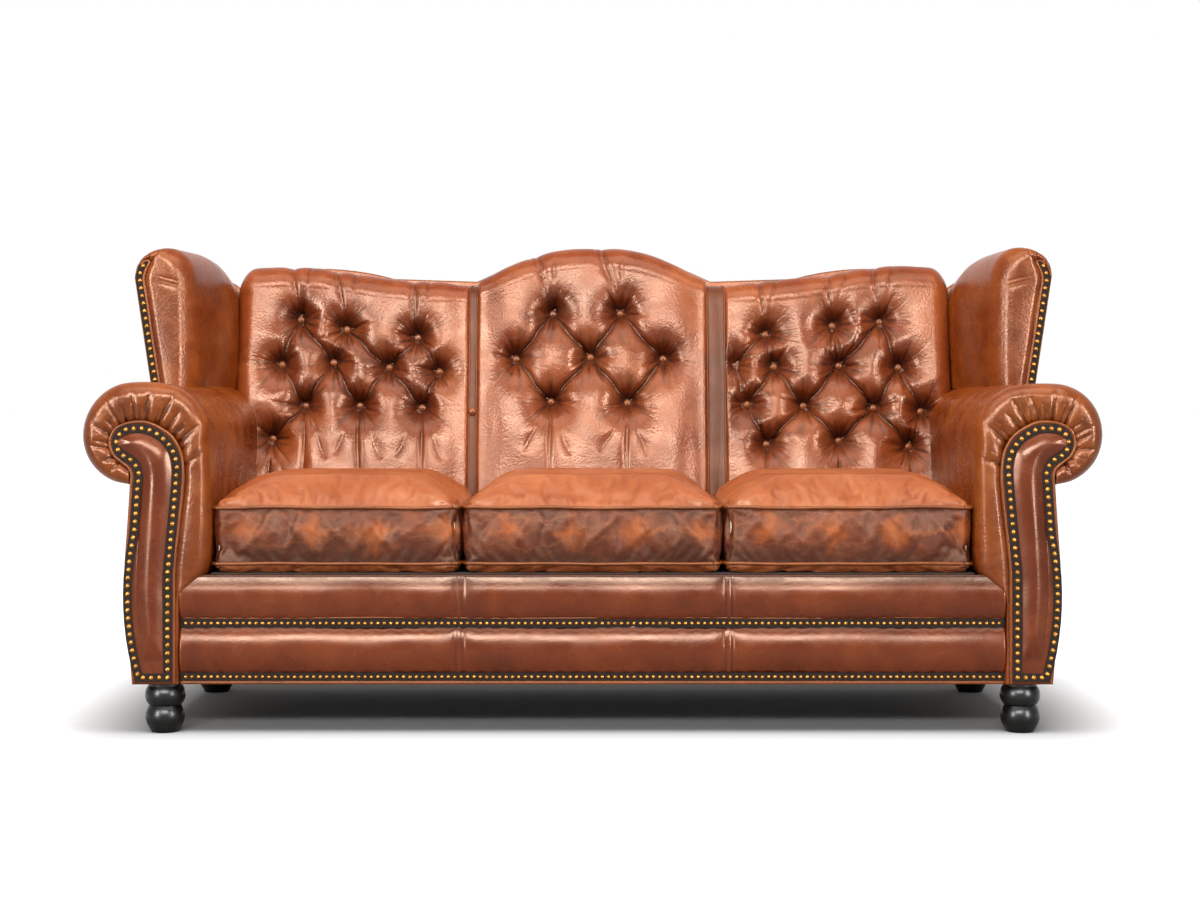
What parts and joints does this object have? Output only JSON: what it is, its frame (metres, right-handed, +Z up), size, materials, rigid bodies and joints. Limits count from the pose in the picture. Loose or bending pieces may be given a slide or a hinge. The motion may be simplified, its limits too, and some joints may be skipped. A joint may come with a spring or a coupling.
{
  "type": "leather sofa",
  "caption": "Camel back wing sofa in tan leather with rolled arms, buttoned back, loose seat cushions, nailed trim and turned bun feet.",
  "frame": {"origin": "on the floor under the middle of the sofa's overall box", "axes": "+X to the right as seen from the front, +Y to the back, +Z up"},
  "size_m": [2.15, 0.88, 1.072],
  "materials": {
    "leather": "waxed pull-up aniline",
    "gimp": "woven",
    "nail_brass": "antiqued",
    "frame_wood": "sawn",
    "foot_wood": "stained and lacquered",
    "spring_steel": "drawn wire",
    "felt": "needled felt",
    "foam": "open cell foam",
    "webbing": "woven jute",
    "dust_cloth": "spunbonded",
    "zip_metal": "antiqued"
  },
  "bodies": {
    "frame": {"arm_cover_left": "leather", "arm_cover_right": "leather", "arm_facing_left": "leather", "arm_facing_right": "leather", "arm_nails": "nail_brass", "arm_outer_left": "leather", "arm_outer_right": "leather", "arm_rail_left": "frame_wood", "arm_rail_right": "frame_wood", "arm_trims": "gimp", "back_buttons": "leather", "back_cover_center": "leather", "back_cover_left": "leather", "back_cover_right": "leather", "back_foam_center": "foam", "back_foam_left": "foam", "back_foam_right": "foam", "back_post_left": "frame_wood", "back_post_right": "frame_wood", "back_rail": "frame_wood", "back_slats": "frame_wood", "back_top_rail": "frame_wood", "back_webbing": "webbing", "base_front_cover": "leather", "base_nails": "nail_brass", "base_trims": "gimp", "corner_blocks": "frame_wood", "deck_pad": "felt", "dust_cover": "dust_cloth", "feet": "foot_wood", "foot_bolts": "spring_steel", "front_post_left": "frame_wood", "front_post_right": "frame_wood", "front_rail": "frame_wood", "outside_back": "leather", "seat_springs": "spring_steel", "seat_struts": "frame_wood", "sills": "frame_wood", "spring_clips": "spring_steel", "wing_cover_left": "leather", "wing_cover_right": "leather", "wing_frame_left": "frame_wood", "wing_frame_right": "frame_wood", "wing_nails": "nail_brass", "wing_outer_left": "leather", "wing_outer_right": "leather", "wing_trims": "gimp"},
    "cushion_left": {"cushion_cover_left": "leather", "cushion_core_left": "foam", "cushion_piping_left": "leather"},
    "zip_left": {"zip_slider_left": "zip_metal"},
    "cushion_center": {"cushion_cover_center": "leather", "cushion_core_center": "foam", "cushion_piping_center": "leather"},
    "zip_center": {"zip_slider_center": "zip_metal"},
    "cushion_right": {"cushion_cover_right": "leather", "cushion_core_right": "foam", "cushion_piping_right": "leather"},
    "zip_right": {"zip_slider_right": "zip_metal"}
  },
  "joints": [
    {"name": "cushion_left_lift", "type": "slide", "parent": "frame", "child": "cushion_left", "axis": [0, 0, 1], "range_m": [0, 0.42]},
    {"name": "cushion_center_lift", "type": "slide", "parent": "frame", "child": "cushion_center", "axis": [0, 0, 1], "range_m": [0, 0.42]},
    {"name": "cushion_right_lift", "type": "slide", "parent": "frame", "child": "cushion_right", "axis": [0, 0, 1], "range_m": [0, 0.42]},
    {"name": "zip_left_slide", "type": "slide", "parent": "cushion_left", "child": "zip_left", "axis": [1, 0, 0], "range_m": [0, 0.397]},
    {"name": "zip_center_slide", "type": "slide", "parent": "cushion_center", "child": "zip_center", "axis": [1, 0, 0], "range_m": [0, 0.419]},
    {"name": "zip_right_slide", "type": "slide", "parent": "cushion_right", "child": "zip_right", "axis": [1, 0, 0], "range_m": [0, 0.397]}
  ]
}
